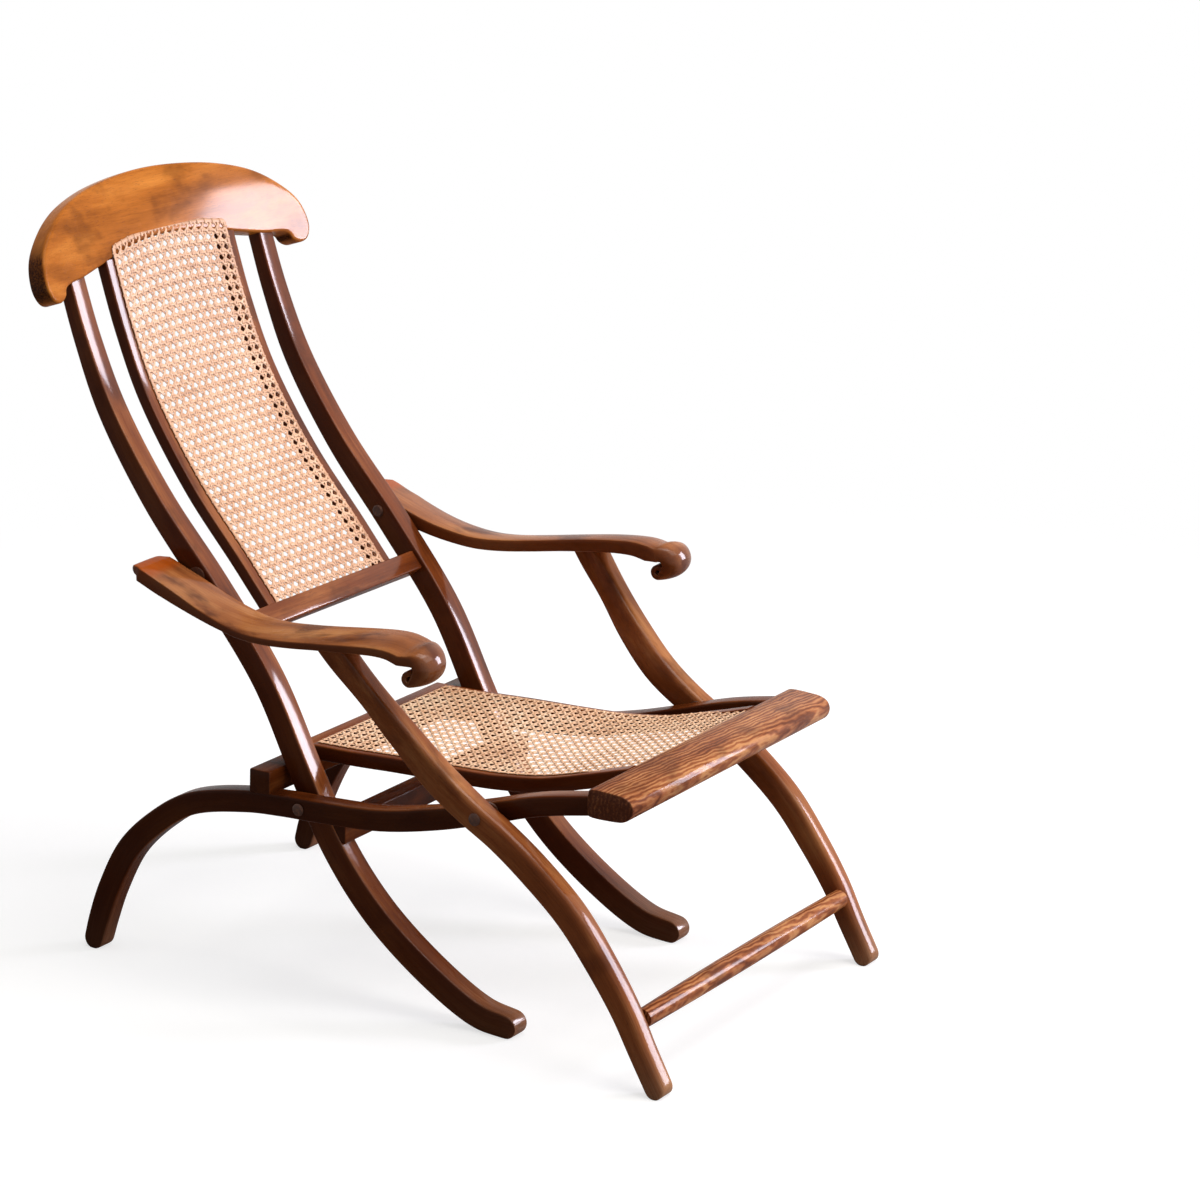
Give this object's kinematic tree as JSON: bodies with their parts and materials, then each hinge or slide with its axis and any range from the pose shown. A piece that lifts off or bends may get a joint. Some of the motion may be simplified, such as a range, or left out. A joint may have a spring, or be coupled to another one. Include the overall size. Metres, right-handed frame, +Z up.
{
  "type": "folding deck chair",
  "caption": "Folding wooden deck chair with a low woven cane seat, a tall curved cane back under a wide crest rail, crossed curved legs and scroll-ended arms.",
  "frame": {"origin": "on the floor under the middle of the chair's box", "axes": "+X towards the sitter's left, +Y towards the back of the chair, +Z up; the chair faces -Y"},
  "size_m": [0.66, 0.9768, 0.96],
  "materials": {
    "dark_wood": "satin",
    "red_wood": "satin",
    "arm_wood": "satin",
    "pale_wood": "satin",
    "seat_cane": "satin",
    "back_cane": "satin",
    "iron": "satin"
  },
  "bodies": {
    "base": {"seat_rail_left": "dark_wood", "seat_rail_right": "dark_wood", "front_board": "pale_wood", "stop_bar": "dark_wood", "seat_side_rail_left": "red_wood", "seat_side_rail_right": "red_wood", "seat_rear_rail": "red_wood", "seat_cane": "seat_cane", "seat_cane_binder_left": "seat_cane", "seat_cane_binder_right": "seat_cane", "back_pivot_bolt_left": "iron", "back_pivot_bolt_right": "iron", "back_pivot_washer_left": "iron", "back_pivot_washer_right": "iron", "leg_pivot_bolt_left": "iron", "leg_pivot_bolt_right": "iron", "leg_pivot_washer_left": "iron", "leg_pivot_washer_right": "iron"},
    "back": {"back_stile_left": "red_wood", "back_stile_right": "red_wood", "crest_rail": "arm_wood", "lower_back_rail": "red_wood", "back_slat_left": "red_wood", "back_slat_right": "red_wood", "back_cane": "back_cane", "back_cane_binder_left": "back_cane", "back_cane_binder_right": "back_cane", "back_cross_rail": "dark_wood", "arm_pivot_bolt_left": "iron", "arm_pivot_bolt_right": "iron", "arm_pivot_washer_left": "iron", "arm_pivot_washer_right": "iron"},
    "legs": {"front_leg_left": "red_wood", "front_leg_right": "red_wood", "front_stretcher": "pale_wood"},
    "arm_on_left": {"arm_left": "arm_wood"},
    "arm_on_right": {"arm_right": "arm_wood"}
  },
  "joints": [
    {"name": "back_fold", "type": "hinge", "parent": "base", "child": "back", "pos_m": [0, 0.05107, 0.24598], "axis": [1, 0, 0], "range_deg": [0, 80]},
    {"name": "leg_fold", "type": "hinge", "parent": "base", "child": "legs", "pos_m": [0, -0.22287, 0.29703], "axis": [1, 0, 0], "range_deg": [0, 85]},
    {"name": "arm_fold_left", "type": "hinge", "parent": "back", "child": "arm_on_left", "pos_m": [0.2385, 0.22709, 0.50605], "axis": [1, 0, 0], "range_deg": [-109, 0]},
    {"name": "arm_fold_right", "type": "hinge", "parent": "back", "child": "arm_on_right", "pos_m": [-0.2385, 0.22709, 0.50605], "axis": [1, 0, 0], "range_deg": [-109, 0]}
  ],
  "couplings": [
    {"joint": "leg_fold", "follows": "back_fold", "ratio": 1.06},
    {"joint": "arm_fold_left", "follows": "back_fold", "ratio": -1.36},
    {"joint": "arm_fold_right", "follows": "back_fold", "ratio": -1.36}
  ]
}
